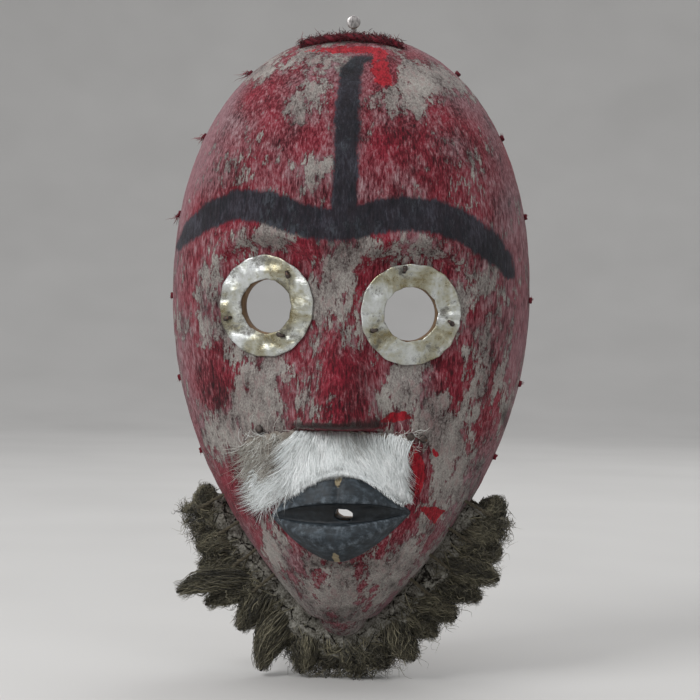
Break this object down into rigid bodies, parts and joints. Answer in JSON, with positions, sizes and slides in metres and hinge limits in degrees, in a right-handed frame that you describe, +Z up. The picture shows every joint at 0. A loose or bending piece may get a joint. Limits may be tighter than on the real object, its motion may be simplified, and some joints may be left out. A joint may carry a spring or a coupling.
{
  "type": "carved folk mask with fibre beard",
  "caption": "Hollow wooden face mask in red cloth with nailed metal eye rings, painted brow, carved lips, white hide moustache and a rope-bound plant-fibre beard.",
  "frame": {"origin": "middle of the open back, in the plane of the back rim, at half the height of the wooden face", "axes": "+Z up towards the crown, -Y the way the face looks, +X to the right of someone looking at the face"},
  "size_m": [0.1543, 0.0648, 0.2712],
  "materials": {
    "carved_wood": "knife-cut wood, dark and greasy inside, blue-black paint on the lips",
    "red_cloth": "napped red cloth under a worn grey-white clay crust, with a blue-black painted brow and forehead stripe",
    "ring_sheet": "thin pale sheet metal, hammered and tarnished",
    "nail_iron": "dark rusted iron",
    "white_hide": "hide with combed white hair, sparse and grey at one end",
    "maroon_yarn": "frayed dark red yarn",
    "steel_wire": "dull steel nail with a domed head",
    "clayed_fibre": "fibre rope stiffened by cracked grey clay",
    "twine": "plied plant twine",
    "plant_fibre": "teased olive-brown plant fibre"
  },
  "bodies": {
    "root": {"wooden_face": "carved_wood", "cloth_cover": "red_cloth", "left_eye_ring": "ring_sheet", "right_eye_ring": "ring_sheet", "left_ring_nails": "nail_iron", "right_ring_nails": "nail_iron", "moustache_pelt": "white_hide", "moustache_tacks": "nail_iron", "crown_cord": "maroon_yarn", "crown_nail": "steel_wire", "rim_ties": "maroon_yarn", "beard_rope": "clayed_fibre", "beard_lashing": "twine", "beard_tuft_01": "plant_fibre", "beard_tuft_02": "plant_fibre", "beard_tuft_03": "plant_fibre", "beard_tuft_04": "plant_fibre", "beard_tuft_05": "plant_fibre", "beard_tuft_06": "plant_fibre", "beard_tuft_07": "plant_fibre", "beard_tuft_08": "plant_fibre", "beard_tuft_09": "plant_fibre", "beard_tuft_10": "plant_fibre", "beard_tuft_11": "plant_fibre", "beard_tuft_12": "plant_fibre", "beard_tuft_13": "plant_fibre", "beard_tuft_14": "plant_fibre", "beard_tuft_15": "plant_fibre", "beard_tuft_16": "plant_fibre", "beard_tuft_17": "plant_fibre", "beard_tuft_18": "plant_fibre", "beard_tuft_19": "plant_fibre", "beard_tuft_20": "plant_fibre", "beard_tuft_21": "plant_fibre"}
  },
  "joints": []
}
